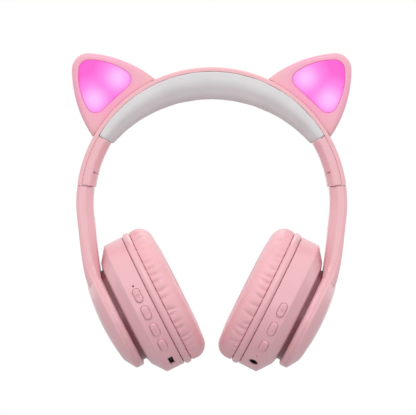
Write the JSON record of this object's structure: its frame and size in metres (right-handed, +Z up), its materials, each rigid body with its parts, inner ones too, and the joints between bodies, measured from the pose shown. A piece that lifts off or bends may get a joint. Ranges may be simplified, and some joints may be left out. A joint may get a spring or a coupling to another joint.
{
  "type": "gaming headset",
  "caption": "Over-head wireless headset with light-up cat ears, folding arms and round padded ear cups.",
  "frame": {"origin": "underside of the headband pad at its middle, where it rests on the head", "axes": "+Z up, -Y the front that faces the viewer, +X to the wearer's side on the viewer's right"},
  "size_m": [0.162, 0.0837, 0.1844],
  "materials": {
    "pink_plastic": "satin gloss moulded plastic",
    "pink_arm": "satin gloss moulded plastic",
    "button_plastic": "satin moulded plastic",
    "pad_fabric": "soft matte leatherette",
    "cushion_leather": "soft protein leather",
    "speaker_cloth": "fine mesh",
    "ear_lens": "translucent diffuser, lit from behind",
    "steel": "brushed",
    "circuit_board": "solder mask",
    "black_plastic": "moulded",
    "dark_plastic": "moulded",
    "driver_paper": "thin film",
    "battery_foil": "foil pouch",
    "led_plastic": "clear epoxy",
    "wire_rubber": "insulated wires"
  },
  "bodies": {
    "headband": {"headband_shell": "pink_plastic", "spring_band": "steel", "pad_base": "dark_plastic", "headband_pad": "pad_fabric", "band_wire": "wire_rubber", "end_cover_left": "pink_plastic", "end_cover_right": "pink_plastic", "hinge_pin_left": "steel", "hinge_pin_right": "steel", "ear_front_left": "pink_plastic", "ear_front_right": "pink_plastic", "ear_back_left": "pink_plastic", "ear_back_right": "pink_plastic", "ear_lens_left": "ear_lens", "ear_lens_right": "ear_lens", "ear_led_boards": "circuit_board", "ear_screws": "steel"},
    "fold_left": {"hinge_block_left": "pink_arm", "slider_left": "steel"},
    "arm_left": {"arm_inner_left": "pink_arm", "arm_outer_left": "pink_arm"},
    "pivot_left": {"pivot_cross_left": "steel"},
    "cup_left": {"cup_shell_left": "pink_plastic", "cup_ring_left": "pink_plastic", "baffle_left": "dark_plastic", "driver_basket_left": "dark_plastic", "driver_cone_left": "driver_paper", "ear_cushion_left": "cushion_leather", "speaker_cloth_left": "speaker_cloth", "cup_screws_left": "steel", "control_board_left": "circuit_board", "switches_left": "black_plastic", "main_board": "circuit_board", "usb_port": "black_plastic", "status_led": "led_plastic"},
    "fold_right": {"hinge_block_right": "pink_arm", "slider_right": "steel"},
    "arm_right": {"arm_inner_right": "pink_arm", "arm_outer_right": "pink_arm"},
    "pivot_right": {"pivot_cross_right": "steel"},
    "cup_right": {"cup_shell_right": "pink_plastic", "cup_ring_right": "pink_plastic", "baffle_right": "dark_plastic", "driver_basket_right": "dark_plastic", "driver_cone_right": "driver_paper", "ear_cushion_right": "cushion_leather", "speaker_cloth_right": "speaker_cloth", "cup_screws_right": "steel", "control_board_right": "circuit_board", "switches_right": "black_plastic", "battery": "battery_foil", "audio_jack": "black_plastic", "microphone": "black_plastic"},
    "button_left_1": {"button_left_1": "button_plastic"},
    "button_left_2": {"button_left_2": "button_plastic"},
    "button_left_3": {"button_left_3": "button_plastic"},
    "button_left_4": {"button_left_4": "button_plastic"},
    "button_right_1": {"button_right_1": "button_plastic"},
    "button_right_2": {"button_right_2": "button_plastic"},
    "button_right_3": {"button_right_3": "button_plastic"}
  },
  "joints": [
    {"name": "fold_left", "type": "hinge", "parent": "headband", "child": "fold_left", "pos_m": [-0.07038, 0, -0.04632], "axis": [0, 1, 0], "range_deg": [-3.5, 0]},
    {"name": "extend_left", "type": "slide", "parent": "fold_left", "child": "arm_left", "axis": [0, 0, -1], "range_m": [0, 0.02]},
    {"name": "tilt_left", "type": "hinge", "parent": "arm_left", "child": "pivot_left", "pos_m": [-0.05603, 0, -0.12745], "axis": [0, 1, 0], "range_deg": [-0.5, 3]},
    {"name": "swivel_left", "type": "hinge", "parent": "pivot_left", "child": "cup_left", "pos_m": [-0.05603, 0, -0.12745], "axis": [-0.4493, 0, 0.8934], "range_deg": [-3, 3]},
    {"name": "fold_right", "type": "hinge", "parent": "headband", "child": "fold_right", "pos_m": [0.07038, 0, -0.04632], "axis": [0, 1, 0], "range_deg": [0, 3.5]},
    {"name": "extend_right", "type": "slide", "parent": "fold_right", "child": "arm_right", "axis": [0, 0, -1], "range_m": [0, 0.02]},
    {"name": "tilt_right", "type": "hinge", "parent": "arm_right", "child": "pivot_right", "pos_m": [0.05603, 0, -0.12745], "axis": [0, -1, 0], "range_deg": [-0.5, 3]},
    {"name": "swivel_right", "type": "hinge", "parent": "pivot_right", "child": "cup_right", "pos_m": [0.05603, 0, -0.12745], "axis": [0.4493, 0, 0.8934], "range_deg": [-3, 3]},
    {"name": "press_button_left_1", "type": "slide", "parent": "cup_left", "child": "button_left_1", "axis": [0.0726, 0.9869, -0.1444], "range_m": [0, 0.0004], "stiffness_N_per_m": 1500},
    {"name": "press_button_left_2", "type": "slide", "parent": "cup_left", "child": "button_left_2", "axis": [-0.047, 0.9945, 0.0934], "range_m": [0, 0.0004], "stiffness_N_per_m": 1500},
    {"name": "press_button_left_3", "type": "slide", "parent": "cup_left", "child": "button_left_3", "axis": [-0.1669, 0.9285, 0.3318], "range_m": [0, 0.0004], "stiffness_N_per_m": 1500},
    {"name": "press_button_left_4", "type": "slide", "parent": "cup_left", "child": "button_left_4", "axis": [-0.2766, 0.788, 0.55], "range_m": [0, 0.0004], "stiffness_N_per_m": 1500},
    {"name": "press_button_right_1", "type": "slide", "parent": "cup_right", "child": "button_right_1", "axis": [0.0196, 0.999, 0.039], "range_m": [0, 0.0004], "stiffness_N_per_m": 1500},
    {"name": "press_button_right_2", "type": "slide", "parent": "cup_right", "child": "button_right_2", "axis": [0.1537, 0.9397, 0.3056], "range_m": [0, 0.0004], "stiffness_N_per_m": 1500},
    {"name": "press_button_right_3", "type": "slide", "parent": "cup_right", "child": "button_right_3", "axis": [0.2766, 0.788, 0.55], "range_m": [0, 0.0004], "stiffness_N_per_m": 1500}
  ]
}
